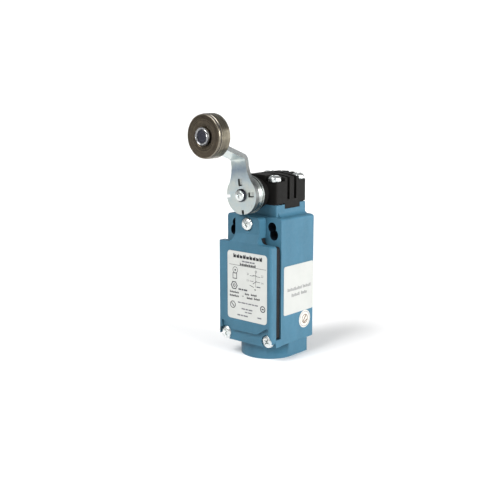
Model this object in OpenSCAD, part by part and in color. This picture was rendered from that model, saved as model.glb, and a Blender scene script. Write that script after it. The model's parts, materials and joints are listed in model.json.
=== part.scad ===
// Side-rotary roller-lever limit switch with a 30 mm wide insulated body.
// The origin is the centre of the two round mounting holes, on the mounting face.
// +X is to the right, +Y goes into the mounting surface, +Z is up, and the cover faces -Y.

/* [Body] */
// Width of the body across the front
body_w = 30; // [30:0.2:32]
// Depth from the cover's label panel to the mounting face
body_d = 28.8; // [28.8:0.2:31]
// Height of the housing without the conduit boss
body_h = 55; // [55:0.2:57]
// Thickness of the housing's walls
wall = 2.4; // [2:0.1:2.6]
// Height of the lower, full width part of the cover
shoulder_h = 43.9; // [43:0.1:44.4]
// Width of the cover's neck between the mounting holes
neck_w = 13.4; // [13:0.1:13.8]

/* [Mounting holes] */
// Distance between the two round mounting holes
hole_pitch = 20; // [20:0.1:20.4]
// Distance between the two long holes that the round ones run into
slot_pitch = 22; // [22:0.1:22.4]
// Width of every mounting hole
hole_d = 4.3; // [4.2:0.1:4.4]
// Height of the round holes above the housing's lower edge
hole_h = 51; // [50.6:0.1:51]

/* [Conduit entry] */
// Bore of the conduit thread, 1/2-14 NPT at its crests
conduit_d = 19.2; // [18.4:0.1:19.4]
// Height of the boss under the housing
boss_h = 7.2; // [6:0.2:9]
// Outer radius of the boss
boss_r = 12.3; // [12:0.1:12.6]

/* [Head] */
// Width of the head
head_w = 21.8; // [21.4:0.1:22]
// Depth of the head
head_d = 20; // [19.8:0.1:20.2]
// Height of the head from its gasket to its crown
head_h = 12; // [11.8:0.1:12.6]
// Height of the lever's axis above the housing's lower edge
axis_h = 64.5; // [64.4:0.1:64.7]
// Diameter of the shaft
shaft_d = 6; // [5.8:0.1:6]

/* [Lever] */
// Distance from the shaft to the roller
lever_r = 25.4; // [24.5:0.1:28]
// Lean of the lever on its hub, as it was clamped
lever_tilt = 7; // [0:1:10]
// Thickness of the lever's sheet
lever_t = 2; // [1.8:0.1:2]
// Forward step of the lever between its two flat ends
joggle = 12.5; // [11:0.5:14]
// Diameter of the roller
roller_d = 18.2; // [16:0.2:19]
// Width of the roller
roller_w = 6.4; // [5:0.2:7]

/* [Contacts] */
// Travel of the contact carriage
travel = 2.2; // [1.8:0.1:2.2]

/* [Hidden] */

$fn = 64;
eps = 0.01;         // overlap of solids that are joined
over = 1;           // how far a cutting shape stands past the surface that it cuts
gap = 0.05;         // radial clearance of a running or screwed fit
air = 0.3;          // clearance between bodies that only pass each other

BLUE = [0.24, 0.47, 0.58];
BLACK = [0.08, 0.08, 0.09];
RUBBER = [0.05, 0.05, 0.05];
ZINC = [0.78, 0.80, 0.80];
STEEL = [0.60, 0.61, 0.62];
BRONZE = [0.55, 0.42, 0.26];
NICKEL = [0.42, 0.38, 0.32];
BRASS = [0.80, 0.65, 0.30];
SILVER = [0.88, 0.88, 0.86];
PAPER = [0.93, 0.93, 0.90];
AMBER = [0.72, 0.62, 0.40];
CREAM = [0.88, 0.86, 0.80];
RED = [0.60, 0.16, 0.12];

// Body, measured from the cover's panel (y = 0) and the housing's lower edge (z = 0)
half_w = body_w / 2;
cover_t = 3.3;                  // depth of the cover's edge
rim_y = 6.4;                    // front plane of the housing
cavity_y = body_d - wall;       // back of the wiring space
floor_h = 6.4;                  // thickness of the housing's floor, where the thread ends
cavity_top = shoulder_h - 1.3;
duct_half = neck_w / 2 - 1.3;   // half width of the space under the neck
duct_top = 50;
edge_r = 1.5;                   // rounding of the body's outer edges
neck_fillet = 2.5;
boss_y = 16.8;                  // axis of the conduit entry
boss_back = body_d - 0.4;
slot_drop = 2.9;                // from the round hole's centre to the long hole's upper centre
slot_run = 0.4;                 // between the long hole's two centres

// Cover details
panel_step = 1.2;               // how far the label panel stands proud of the screw corners
neck_step = 2;                  // how far the neck lies behind the label panel
rail_h = 3.4;                   // lower rail that closes the joint under the gasket
cover_screw_pts = [[-11.7, 2.7], [11.7, 2.7], [0, 51.9]];
cover_seat_y = 3;
cover_screw_len = 8;
pocket_r = 3;                   // around each screw's head
foot_r = 3;                     // lower corners of the cover, round the screws
post_r = 3;                     // post under the upper screw
notch_half = 2.1;               // opening of the two lower pockets
notch_h = 0.6;
notch_top = 2;                  // their opening at the corner
gasket_inset = 0.7;

// M3 pan head screws
screw_r = 1.5;
pan_r = 2.8;
pan_h = 2.2;

// Head
head_y0 = 8.4;
head_y1 = head_y0 + head_d;
head_mid = (head_y0 + head_y1) / 2;
pedestal_top = 60;
head_gasket_t = 0.5;
head_z0 = pedestal_top + head_gasket_t;
head_top = head_z0 + head_h;
crown_r = 52;                   // curve of the head's top from side to side
head_screw_off = 7.9;
head_seat_z = 69.8;
head_screw_h = 2.5;
head_screw_end = 54.6;
neck_boss_r = 6.5;              // round boss in front of the head
neck_boss_y = 4.4;
key_y0 = 13.6;                  // feet that key the head to the pedestal
key_y1 = 24;
key_drop = 1.8;
key_t = 1.2;
groove_w = 1.7;
groove_t = 1.2;
groove_off = 2.3;
groove_z = head_z0 + 1.5;       // lower end of the grooves
cam_room_y0 = 13.4;
cam_room_y1 = 23.4;
cam_room_half = 6.4;
cam_room_top = 70.2;
seal_r = 4.9;
seal_y1 = 6.2;
bush_r = 3.6;
shaft_end_y = 26.2;
shaft_front_y = 1.5;
clip_y = 13.55;
clip_t = 0.6;
cam_r = 5.2;
cam_flat = 3.6;
cam_y0 = 15.4;
cam_y1 = 21.4;
cam_pin_r = 0.75;
shaft_r = shaft_d / 2;

// Follower between the cam and the contacts
follower_r = 3;
follower_cap_r = 5;
follower_cap_t = 1.8;
follower_top = axis_h - cam_r - 0.15;
follower_end = 45.4;
spring_pocket_r = 6.2;
spring_pocket_z = 52.6;

// Lever and hub
hub_front = -1.8 + 2;           // plane where the lever's back lies on the hub
hub_back = 3.9;
hub_r = 8;
lobe_r = 8.1;
arm_half = 4;
bend_z = 15.6;                  // where the lever steps forward, above the shaft
bend_rise = 5;                  // how far it climbs over the step
eye_r = 5.2;
clamp_r = 1.75;                 // M3.5 clamp screw
window = 2.1;                   // width of the lever's windows
window_far = 6.9;               // and how far they reach from the shaft
window_near = 3.9;
clamp_head_r = 2.3;
clamp_head_h = 1.3;
clamp_len = 10;
spring_washer_r = 2.75;
spring_washer_t = 0.6;
lug_slot = 0.5;                 // open on two sides of the hub's lug in each window
bend_r = 2.2;                   // middle radius of the lever's two bends
pin_r = 2.5;
pin_head_r = 3.7;
pin_recess_r = 2.7;
pin_recess = 0.45;
rivet_r = 3.6;                  // closed end of the pin behind the lever
rivet_t = 0.9;
pin_head_t = 1;
washer_t = 0.4;
lever_front = hub_front - lever_t;
eye_back = hub_front - joggle;
eye_front = eye_back - lever_t;
roller_back = eye_front - washer_t - 0.05;
roller_front = roller_back - roller_w;

// Contact block
block_half = 12.2;
base_y0 = 13.4;
base_y1 = cavity_y - 0.1;
base_z0 = 17.5;
base_z1 = 42.2;
chamber_half = 6.4;
chamber_y1 = 19.7;
carriage_half = 3.1;
carriage_y0 = 13.6;
carriage_y1 = 19.6;
carriage_z0 = 24.5;
carriage_z1 = 45.3;
seat_z = 19;                    // floor under the carriage's spring
strip_t = 0.8;
tip_t = 0.4;
tip_r = 1.1;
tip_x = 5;
tip_y = 16.6;
nc_level = 38;                  // underside of the upper fixed contacts
no_level = 26;                  // top of the lower fixed contacts
bridge_t = 0.6;
bridge_half = 6.1;
bridge_w = 2.8;
nc_bridge_z = nc_level - 2 * tip_t - 0.05 - bridge_t;
no_bridge_z = no_level + 2 * tip_t + travel + 0.1;
terminal_x = 9.4;
nc_terminal_z = 37.4;
no_terminal_z = 25.4;
clamp_half = 2.7;
clamp_t = 1;
term_head_r = 2.4;
term_head_h = 1.8;
block_screw_pts = [[-9.4, 31.4], [9.4, 31.4]];
block_screw_y = base_y0 + 4;
block_head_r = 2.5;

// ---- helpers ----

// Moves a piece from the body's corner planes to the origin between the mounting holes
module datum() {
    translate([0, -body_d, -hole_h]) children();
}

// Extrudes an X-Z outline from y0 back to y1
module along_y(y0, y1) {
    translate([0, y1, 0]) rotate([90, 0, 0]) linear_extrude(y1 - y0) children();
}

// Extrudes a Y-Z outline from x0 to x1
module along_x(x0, x1) {
    translate([x0, 0, 0]) rotate([90, 0, 90]) linear_extrude(x1 - x0) children();
}

// Extrudes an X-Y outline from z0 up to z1
module along_z(z0, z1) {
    translate([0, 0, z0]) linear_extrude(z1 - z0) children();
}

module rod_y(p, y0, y1, r) {
    translate([p[0], y0, p[1]]) rotate([-90, 0, 0]) cylinder(h = y1 - y0, r = r);
}

module rod_z(p, z0, z1, r) {
    translate([p[0], p[1], z0]) cylinder(h = z1 - z0, r = r);
}

// A box between two corners
module block(a, b) {
    translate(a) cube(b - a);
}

// A rectangle between two corners with round corners, lower ones r0 and upper ones r1
module round_rect(a, b, r0, r1) {
    translate([a[0] + r0, a[1]]) square([b[0] - a[0] - 2 * r0, r0 + eps]);
    translate([a[0], a[1] + r0]) square([b[0] - a[0], b[1] - a[1] - r0 - r1]);
    translate([a[0] + r1, b[1] - r1 - eps]) square([b[0] - a[0] - 2 * r1, r1 + eps]);
    for (x = [a[0] + r0, b[0] - r0]) translate([x, a[1] + r0]) circle(r0);
    for (x = [a[0] + r1, b[0] - r1]) translate([x, b[1] - r1]) circle(r1);
}

// The cover's outline, or one that lies inside it by the inset
module cover_outline(inset = 0, low = 0) {
    side = half_w - inset;
    neck = neck_w / 2 - inset;
    top = shoulder_h - inset;
    round_rect([-side, low], [side, top], low == 0 ? foot_r : 1, 1.2);
    round_rect([-neck, shoulder_h - 4], [neck, body_h - inset], 1, 1.8 - inset);
    for (s = [-1, 1]) difference() {
        translate([s * (neck + neck_fillet / 2), top + neck_fillet / 2])
            square(neck_fillet + eps, center = true);
        translate([s * (neck + neck_fillet), top + neck_fillet]) circle(neck_fillet);
    }
}

// A pan head screw along -Z: the underside of its head is at z = 0
module pan_screw(length, r = screw_r, head_r = pan_r, head_h = pan_h) {
    crown = head_h * 0.45;
    translate([0, 0, -length]) cylinder(h = length + eps, r = r);
    difference() {
        union() {
            cylinder(h = head_h - crown, r = head_r);
            translate([0, 0, head_h - crown - eps]) cylinder(h = crown, r1 = head_r, r2 = head_r * 0.72);
        }
        for (a = [0, 90]) rotate([0, 0, a])
            translate([-head_r * 0.6, -head_r * 0.11, head_h * 0.4])
                cube([head_r * 1.2, head_r * 0.22, head_h]);
    }
}

// Points of one ring of a coil's wire, square to the coil's axis
function coil_ring(t, turns, r, length, wire_r, sides) = [
    for (i = [0 : sides - 1])
        let (a = 360 * i / sides, turn = 360 * turns * t, reach = r + wire_r * cos(a))
        [reach * cos(turn), reach * sin(turn), wire_r + (length - 2 * wire_r) * t + wire_r * sin(a)]
];

// A compression spring that stands on z = 0
module coil(turns, r, length, wire_r) {
    sides = 8;
    steps = turns * 18;
    points = [for (k = [0 : steps]) each coil_ring(k / steps, turns, r, length, wire_r, sides)];
    skin = [
        for (k = [0 : steps - 1]) for (i = [0 : sides - 1])
            let (j = (i + 1) % sides, a = k * sides, b = a + sides)
            [a + i, b + i, b + j, a + j]
    ];
    first = [for (i = [0 : sides - 1]) i];
    last = [for (i = [sides - 1 : -1 : 0]) steps * sides + i];
    polyhedron(points, concat(skin, [first], [last]), convexity = 10);
}

// ---- body ----

module housing() {
    color(BLUE) datum() difference() {
        union() {
            intersection() {
                along_y(rim_y, body_d) round_rect([-half_w, 0], [half_w, body_h], 0.6, edge_r);
                along_x(-half_w, half_w) difference() {
                    translate([rim_y, 0]) square([body_d - rim_y, body_h]);
                    translate([body_d - edge_r, body_h - edge_r]) difference() {
                        square(edge_r + over);
                        circle(edge_r);
                    }
                }
            }
            housing_boss();
            housing_pedestal();
        }
        housing_room();
        housing_holes();
        block([-boss_r, 0, 0], [boss_r, rim_y, over]);
    }
}

// The U-shaped boss around the conduit thread
module housing_boss() {
    along_z(-boss_h, eps) {
        translate([0, boss_y]) circle(boss_r);
        translate([-boss_r, boss_y]) square([2 * boss_r, boss_back - boss_y]);
    }
}

// The square seat of the head, with a concave foot on each side
module housing_pedestal() {
    foot = 2.2;
    difference() {
        union() {
            along_z(body_h - eps, pedestal_top)
                round_rect([-head_w / 2, head_y0], [head_w / 2, head_y1], 0.8, 0.8);
            for (s = [-1, 1]) along_y(head_y0 + 1, head_y1 - 1) difference() {
                translate([s * (head_w / 2 + foot / 2 - eps), body_h + foot / 2]) square(foot, center = true);
                translate([s * (head_w / 2 + foot), body_h + foot]) circle(foot);
            }
        }
        for (s = [-1, 1])
            block([s * head_w / 2 - key_t, key_y0, pedestal_top - key_drop - 0.1],
                [s * head_w / 2 + key_t, key_y1, pedestal_top + over]);
    }
}

// The wiring space, the narrow space under the neck and the pocket of the follower's spring
module housing_room() {
    along_y(rim_y - over, cavity_y) {
        round_rect([wall - half_w, floor_h], [half_w - wall, cavity_top], 1, 1);
        round_rect([-duct_half, cavity_top - 3], [duct_half, duct_top], 1, 1);
    }
    rod_z([0, head_mid], spring_pocket_z, pedestal_top + over, spring_pocket_r);
    rod_z([0, head_mid], duct_top - over, spring_pocket_z + over, follower_r + gap);
    rod_z([0, boss_y], -boss_h - over, floor_h + over, conduit_d / 2);
}

module housing_holes() {
    for (s = [-1, 1]) {
        along_y(rim_y - over, body_d + over) {
            translate([s * hole_pitch / 2, hole_h]) circle(hole_d / 2);
            translate([s * slot_pitch / 2, hole_h - slot_drop]) circle(hole_d / 2);
            translate([s * slot_pitch / 2, hole_h - slot_drop - slot_run]) circle(hole_d / 2);
            translate([s * slot_pitch / 2 - hole_d / 2, hole_h - slot_drop - slot_run])
                square([hole_d, slot_run]);
        }
    }
    for (p = cover_screw_pts) rod_y(p, rim_y - over, cover_seat_y + cover_screw_len + 0.3, screw_r + gap);
    for (x = [-1, 1], y = [-1, 1])
        rod_z([x * head_screw_off, head_mid + y * head_screw_off],
            head_screw_end - 0.3, pedestal_top + over, screw_r + gap);
    for (p = block_screw_pts) rod_y(p, cavity_y - over, cavity_y + 1.4, screw_r + gap);
}

module cover() {
    color(BLUE) datum() difference() {
        union() {
            intersection() {
                along_y(0, cover_t) cover_outline();
                along_z(-over, body_h + over) cover_plan();
            }
            along_y(cover_t - eps, rim_y) {
                translate([-half_w, 0]) square([body_w, rail_h]);
                translate(cover_screw_pts[2]) circle(post_r);
                neck_skirt();
            }
        }
        cover_steps();
        for (p = cover_screw_pts) {
            rod_y(p, -over, cover_seat_y, pocket_r);
            rod_y(p, 0, rim_y + over, screw_r + 0.15);
        }
        for (s = [-1, 1]) scale([s, 1, 1]) translate([cover_screw_pts[1][0], 0, 0]) {
            block([-notch_half, -over, -over], [notch_half, cover_seat_y, notch_h]);
            block([0, -over, -over], [2 * foot_r, cover_seat_y, notch_top]);
        }
        along_y(cover_t - 1.1, cover_t + over)
            round_rect([wall - half_w + 1, floor_h + 1], [half_w - wall - 1, cavity_top - 1], 1, 1);
    }
}

// The rim around the neck that hides the gasket there
module neck_skirt() {
    difference() {
        intersection() {
            cover_outline();
            translate([-half_w, shoulder_h + neck_fillet]) square([body_w, body_h]);
        }
        cover_outline(gasket_inset - 0.1);
    }
}

// Plan of the cover with rounded front edges
module cover_plan() {
    translate([-half_w, edge_r]) square([body_w, cover_t]);
    translate([edge_r - half_w, 0]) square([body_w - 2 * edge_r, edge_r + eps]);
    for (s = [-1, 1]) translate([s * (half_w - edge_r), edge_r]) circle(edge_r);
}

// What lies behind the raised label panel: the sloping neck and the screw corners
module cover_steps() {
    corner_half = 13.2;
    along_x(-half_w - over, half_w + over)
        polygon([[-over, shoulder_h + 0.4], [0, shoulder_h + 0.4], [neck_step, shoulder_h + 4],
            [neck_step, body_h + over], [-over, body_h + over]]);
    along_y(-over, panel_step)
        polygon([[-corner_half, -over], [corner_half, -over], [corner_half, 8.4], [12.2, 8.4],
            [7, 5], [-7, 5], [-12.2, 8.4], [-corner_half, 8.4]]);
}

// A rubber frame that shows as the dark joint between the cover and the housing
module cover_gasket() {
    color(RUBBER) datum() along_y(cover_t, rim_y) difference() {
        cover_outline(gasket_inset, rail_h);
        round_rect([wall - half_w, floor_h], [half_w - wall, cavity_top], 1, 1);
        round_rect([-duct_half, cavity_top - 3], [duct_half, duct_top - 1.6], 1, 1);
        translate(cover_screw_pts[2]) circle(post_r + air);
        for (k = [0, 1]) translate(cover_screw_pts[k]) circle(screw_r + gap);
    }
}

module cover_screws() {
    color(ZINC) datum() for (p = cover_screw_pts)
        translate([p[0], cover_seat_y, p[1]]) rotate([90, 0, 0]) rotate([0, 0, 20])
            pan_screw(cover_screw_len);
}

module nameplate() {
    color(PAPER) datum() along_y(-0.12, 0) round_rect([-9.4, 10.3], [12.6, 40.1], edge_r, edge_r);
}

module entry_label() {
    color(PAPER) datum() along_x(half_w, half_w + 0.12)
        round_rect([8.2, 13], [body_d - 0.05, 34.3], 1, 1);
}

module round_sticker() {
    color(CREAM) datum() along_x(half_w, half_w + 0.15) translate([22.9, 9]) circle(3.9);
}

// ---- head ----

// Outline of the head seen from the front, or one that lies inside it
module head_front(inset = 0) {
    intersection() {
        translate([inset - head_w / 2, head_z0]) square([head_w - 2 * inset, head_h]);
        translate([0, head_top - crown_r]) circle(crown_r - inset, $fn = 128);
    }
}

module head() {
    color(BLACK) datum() difference() {
        union() {
            intersection() {
                along_y(head_y0, head_y1) head_front();
                along_z(head_z0, head_top) round_rect([-head_w / 2, head_y0], [head_w / 2, head_y1], 1, 1);
            }
            rod_y([0, axis_h], neck_boss_y, head_y0 + eps, neck_boss_r);
            for (s = [-1, 1])
                block([s > 0 ? head_w / 2 - key_t + 0.1 : -head_w / 2, key_y0 + 0.1, pedestal_top - key_drop],
                    [s > 0 ? head_w / 2 : key_t - 0.1 - head_w / 2, key_y1 - 0.1, head_z0 + eps]);
        }
        head_grooves();
        head_corners();
        block([-neck_boss_r, head_y0, axis_h - neck_boss_r - over], [neck_boss_r, head_y0 + over, head_z0]);
        block([-cam_room_half, cam_room_y0, head_z0 - over], [cam_room_half, cam_room_y1, cam_room_top]);
        rod_y([0, axis_h], neck_boss_y - over, seal_y1, seal_r + 0.02);
        rod_y([0, axis_h], seal_y1 - eps, cam_room_y0 + over, bush_r + 0.02);
        rod_y([0, axis_h], cam_room_y1 - over, shaft_end_y + 0.2, shaft_r + gap);
    }
}

// Two grooves that run up both sides of the head and over its top, and two up its back
module head_grooves() {
    for (s = [-1, 1]) {
        y = head_mid + s * groove_off;
        along_y(y - groove_w / 2, y + groove_w / 2) difference() {
            translate([-head_w, groove_z]) square([2 * head_w, head_h]);
            head_front(groove_t);
        }
        x = s * groove_off;
        reach = [x + groove_w / 2, head_y1 + over, head_top + over];
        block([x - groove_w / 2, head_y1 - groove_t, groove_z], reach);
        block([x - groove_w / 2, head_mid + groove_off, head_top - groove_t], reach);
    }
}

// The open corner pockets of the four head screws
module head_corners() {
    r = pan_r + 0.4;
    for (x = [-1, 1], y = [-1, 1]) {
        px = x * head_screw_off;
        py = head_mid + y * head_screw_off;
        rod_z([px, py], head_seat_z, head_top + over, r);
        block([min(px, px + x * 5), py - r, head_seat_z], [max(px, px + x * 5), py + r, head_top + over]);
        block([px - r, min(py, py + y * 5), head_seat_z], [px + r, max(py, py + y * 5), head_top + over]);
        rod_z([px, py], head_z0 - over, head_seat_z + eps, screw_r + 0.1);
    }
}

module head_gasket() {
    color(RUBBER) datum() along_z(pedestal_top, head_z0) difference() {
        square_half = head_w / 2 - key_t - 0.1;
        translate([-square_half, head_y0 + 0.1]) square([2 * square_half, head_d - 0.2]);
        translate([0, head_mid]) circle(spring_pocket_r);
        for (x = [-1, 1], y = [-1, 1])
            translate([x * head_screw_off, head_mid + y * head_screw_off]) circle(screw_r + gap);
    }
}

module head_screws() {
    color(ZINC) datum() for (x = [-1, 1], y = [-1, 1])
        translate([x * head_screw_off, head_mid + y * head_screw_off, head_seat_z])
            rotate([0, 0, 25 + 15 * x]) pan_screw(head_seat_z - head_screw_end, head_h = head_screw_h);
}

module shaft_seal() {
    color(RUBBER) datum() translate([0, neck_boss_y + 0.1, axis_h]) rotate([-90, 0, 0])
        rotate_extrude() translate([shaft_r + gap, 0]) square([seal_r - shaft_r - gap, 1.6]);
}

module shaft_bush() {
    color(BRONZE) datum() difference() {
        rod_y([0, axis_h], seal_y1, cam_room_y0, bush_r);
        rod_y([0, axis_h], seal_y1 - over, cam_room_y0 + over, shaft_r + gap);
    }
}

// ---- shaft, cam and lever ----

module shaft() {
    color(STEEL) datum() difference() {
        rod_y([0, axis_h], shaft_front_y, shaft_end_y, shaft_r);
        rod_y([0, axis_h], 0, 9.5, clamp_r + gap);
        translate([0, clip_y, axis_h]) rotate([-90, 0, 0]) rotate_extrude()
            translate([shaft_r - 0.5, 0]) square([1, clip_t]);
        rod_z([0, (cam_y0 + cam_y1) / 2], axis_h - 5, axis_h + 5, cam_pin_r + gap);
    }
}

module retaining_clip() {
    color(STEEL) datum() along_y(clip_y + 0.05, clip_y + clip_t - 0.05) translate([0, axis_h]) difference() {
        circle(4.6);
        circle(shaft_r - 0.45);
        translate([-1.8, -6]) square([3.6, 5]);
    }
}

// A round cam with one flat: turning the lever either way presses the follower down
module cam() {
    color(STEEL) datum() difference() {
        along_y(cam_y0, cam_y1) translate([0, axis_h]) difference() {
            circle(cam_r);
            translate([-cam_r, -cam_flat - cam_r]) square([2 * cam_r, cam_r]);
        }
        rod_y([0, axis_h], cam_y0 - over, cam_y1 + over, shaft_r + gap);
        rod_z([0, (cam_y0 + cam_y1) / 2], axis_h - 6, axis_h + 6, cam_pin_r + gap);
    }
}

module cam_pin() {
    color(STEEL) datum()
        rod_z([0, (cam_y0 + cam_y1) / 2], axis_h - cam_flat + 0.1, axis_h + cam_r - 0.3, cam_pin_r);
}

// Places a piece that turns with the lever and was drawn with the shaft at z = 0 and the arm upright
module on_lever() {
    datum() translate([0, 0, axis_h]) rotate([0, -lever_tilt, 0]) children();
}

// The zinc hub that grips the shaft: its lugs stand in the lever's windows
module lever_hub() {
    color(ZINC) on_lever() difference() {
        union() {
            rod_y([0, 0], hub_front, hub_back - 1, hub_r - 0.2);
            rod_y([0, 0], hub_back - 0.8, hub_back, hub_r);
            rod_y([0, 0], hub_back - 1.1, hub_back - 0.7, hub_r - 0.6);
            block([lug_slot - window / 2, hub_front - 1.5, window_near + lug_slot],
                [window / 2 - 0.05, hub_front + eps, window_far - 0.05]);
            block([window_near + lug_slot, hub_front - 1.5, lug_slot - window / 2],
                [window_far - 0.05, hub_front + eps, window / 2 - 0.05]);
        }
        rod_y([0, 0], shaft_front_y, hub_back + over, shaft_r + 0.02);
        rod_y([0, 0], hub_front - over, shaft_front_y + over, clamp_r + gap);
    }
}

slope = atan2(bend_rise, joggle);
turn = 90 - slope;              // angle of each bend
bend_reach = bend_r * tan(turn / 2);
bend_a = [lever_front + lever_t / 2 - bend_r, bend_z - bend_reach];
bend_b = [eye_back - lever_t / 2 + bend_r, bend_z + bend_rise + bend_reach];
bend_in = bend_r - lever_t / 2;
bend_out = bend_r + lever_t / 2;

// A point in the lever's Y-Z profile at a radius and an angle from the middle of a bend
function on_bend(mid, r, a) = mid + r * [cos(a), sin(a)];

// One quarter-like bend of the strip, from one angle to another
module bend(mid, a0, a1) {
    reach = bend_out / cos((a1 - a0) / 2) + over;
    intersection() {
        translate(mid) difference() {
            circle(bend_out);
            circle(bend_in);
        }
        polygon([mid, on_bend(mid, reach, a0), on_bend(mid, reach, a1)]);
    }
}

// Profile of the lever's arm seen from the side: flat, a bend, a slope, a bend, flat
module arm_profile() {
    translate([lever_front, bend_z - 4]) square([lever_t, bend_a[1] - bend_z + 4 + eps]);
    bend(bend_a, -0.2, turn + 0.2);
    polygon([
        on_bend(bend_a, bend_in, turn), on_bend(bend_a, bend_out, turn),
        on_bend(bend_b, bend_in, turn - 180), on_bend(bend_b, bend_out, turn - 180)
    ]);
    bend(bend_b, 179.8, 180.2 + turn);
    translate([eye_front, bend_b[1] - eps]) square([lever_t, lever_r - bend_b[1] + eps]);
}

module lever() {
    color(ZINC) on_lever() difference() {
        union() {
            along_y(lever_front, hub_front) lever_lobe();
            along_x(-arm_half, arm_half) arm_profile();
            rod_y([0, lever_r], eye_front, eye_back, eye_r);
        }
        rod_y([0, 0], lever_front - over, hub_front + over, clamp_r + 0.1);
        rod_y([0, lever_r], eye_front - over, eye_back + over, pin_r + gap);
        for (a = [0, 90]) rotate([0, a, 0])
            block([-window / 2, lever_front - over, window_near], [window / 2, hub_front + over, window_far]);
        for (a = [180, 270]) rotate([0, a, 0])
            block([-0.6, lever_front - over, 6.2], [0.6, hub_front + over, lobe_r + over]);
    }
}

// Front outline of the lever up to its bend
module lever_lobe() {
    circle(lobe_r);
    flank = [[7.74, 2.3], [6.3, 4.8], [5.2, 7.2], [4.4, 9.7], [arm_half, 12]];
    polygon(concat([[0, 0]], flank, [for (i = [len(flank) - 1 : -1 : 0]) [-flank[i][0], flank[i][1]]]));
}

module lever_washer() {
    color(STEEL) on_lever() difference() {
        rod_y([0, 0], lever_front - spring_washer_t, lever_front, spring_washer_r);
        rod_y([0, 0], lever_front - over, lever_front + over, clamp_r + gap);
        block([-0.25, lever_front - over, 1], [0.25, lever_front + over, spring_washer_r + over]);
    }
}

module lever_screw() {
    color(ZINC) on_lever() translate([0, lever_front - spring_washer_t, 0]) rotate([90, 0, 0])
        rotate([0, 0, 30]) pan_screw(clamp_len, clamp_r, clamp_head_r, clamp_head_h);
}

module roller_pin() {
    color(STEEL) on_lever() difference() {
        union() {
            rod_y([0, lever_r], roller_front - 0.05, eye_back, pin_r);
            rod_y([0, lever_r], roller_front - 0.05 - pin_head_t, roller_front - 0.05, pin_head_r);
            rod_y([0, lever_r], eye_back, eye_back + rivet_t, rivet_r);
        }
        rod_y([0, lever_r], roller_front - over - pin_head_t, roller_front - pin_head_t + pin_recess,
            pin_recess_r);
    }
}

module roller_washer() {
    color(STEEL) on_lever() difference() {
        rod_y([0, lever_r], eye_front - washer_t, eye_front, 4.4);
        rod_y([0, lever_r], eye_front - over, eye_front + over, pin_r + gap);
    }
}

// A turned roller with two fine rim grooves near its front
module roller() {
    r = roller_d / 2;
    inner = 4.9;
    color(NICKEL) on_lever() translate([0, roller_front, lever_r]) rotate([-90, 0, 0])
        rotate_extrude($fn = 96) polygon([
            [pin_r + gap, 0.25], [inner - 0.3, 0.25], [inner, 0], [r - 0.6, 0], [r - 0.2, 0.4],
            [r - 0.2, 0.9], [r - 0.5, 1.1], [r - 0.5, 1.2], [r - 0.1, 1.4], [r, 1.7],
            [r, roller_w - 0.5], [r - 0.5, roller_w], [inner, roller_w], [inner - 0.3, roller_w - 0.25],
            [pin_r + gap, roller_w - 0.25]
        ]);
}

// ---- follower ----

module follower() {
    color(CREAM) datum() {
        rod_z([0, head_mid], follower_end, follower_top - follower_cap_t + eps, follower_r);
        rod_z([0, head_mid], follower_top - follower_cap_t, follower_top, follower_cap_r);
    }
}

module follower_spring() {
    color(STEEL) datum() translate([0, head_mid, spring_pocket_z])
        coil(3, 4.2, follower_top - follower_cap_t - spring_pocket_z, 0.35);
}

// ---- contact block ----

module contact_base() {
    color(BLACK) datum() difference() {
        block([-block_half, base_y0, base_z0], [block_half, base_y1, base_z1]);
        block([-carriage_half - 0.1, base_y0 - over, seat_z],
            [carriage_half + 0.1, chamber_y1, base_z1 + over]);
        block([-chamber_half, base_y0 - over, no_level - 1.2],
            [chamber_half, chamber_y1, nc_level + 1.2]);
        contact_slots();
        for (p = block_screw_pts) {
            rod_y(p, base_y0 - over, base_y1 + over, screw_r + 0.1);
            rod_y(p, base_y0 - over, block_screw_y, block_head_r + 0.2);
        }
    }
}

// The seats of the four fixed contacts and the holes of their terminal screws
module contact_slots() {
    for (s = [-1, 1]) {
        for (z = [nc_level, no_level - strip_t])
            block([min(s * (chamber_half - 1), s * 7.6), base_y0 - over, z - 0.05],
                [max(s * (chamber_half - 1), s * 7.6), 18.3, z + strip_t + 0.05]);
        for (z = [nc_terminal_z, no_terminal_z])
            rod_y([s * terminal_x, z], base_y0 - over, base_y0 + 6.5, screw_r + gap);
    }
}

module contact_cover() {
    color(AMBER) datum() block([-6.2, 12, base_z0], [6.2, base_y0, base_z1]);
}

module block_screws() {
    color(ZINC) datum() for (p = block_screw_pts)
        translate([p[0], block_screw_y, p[1]]) rotate([90, 0, 0])
            pan_screw(base_y1 - block_screw_y + 1.2, screw_r, block_head_r, term_head_h);
}

// An L-shaped brass contact: a terminal plate on the block's front and a tongue into its chamber
module fixed_contact(side, tongue_z, terminal_z) {
    x0 = 6.6;
    x1 = block_half;
    tongue_x = 7.5;
    color(BRASS) datum() difference() {
        union() {
            block([min(side * x0, side * x1), base_y0 - strip_t, terminal_z - 3],
                [max(side * x0, side * x1), base_y0, terminal_z + 3]);
            block([min(side * 4, side * tongue_x), base_y0, tongue_z],
                [max(side * 4, side * tongue_x), 18.2, tongue_z + strip_t]);
            block([min(side * x0, side * tongue_x), base_y0 - strip_t, tongue_z],
                [max(side * x0, side * tongue_x), base_y0 + eps, tongue_z + strip_t]);
        }
        rod_y([side * terminal_x, terminal_z], base_y0 - 2, base_y0 + over, screw_r + gap);
    }
}

module nc_contact_left() {
    fixed_contact(-1, nc_level, nc_terminal_z);
}

module nc_contact_right() {
    fixed_contact(1, nc_level, nc_terminal_z);
}

module no_contact_left() {
    fixed_contact(-1, no_level - strip_t, no_terminal_z);
}

module no_contact_right() {
    fixed_contact(1, no_level - strip_t, no_terminal_z);
}

module fixed_tips() {
    color(SILVER) datum() for (s = [-1, 1]) {
        rod_z([s * tip_x, tip_y], nc_level - tip_t, nc_level, tip_r);
        rod_z([s * tip_x, tip_y], no_level, no_level + tip_t, tip_r);
    }
}

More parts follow.
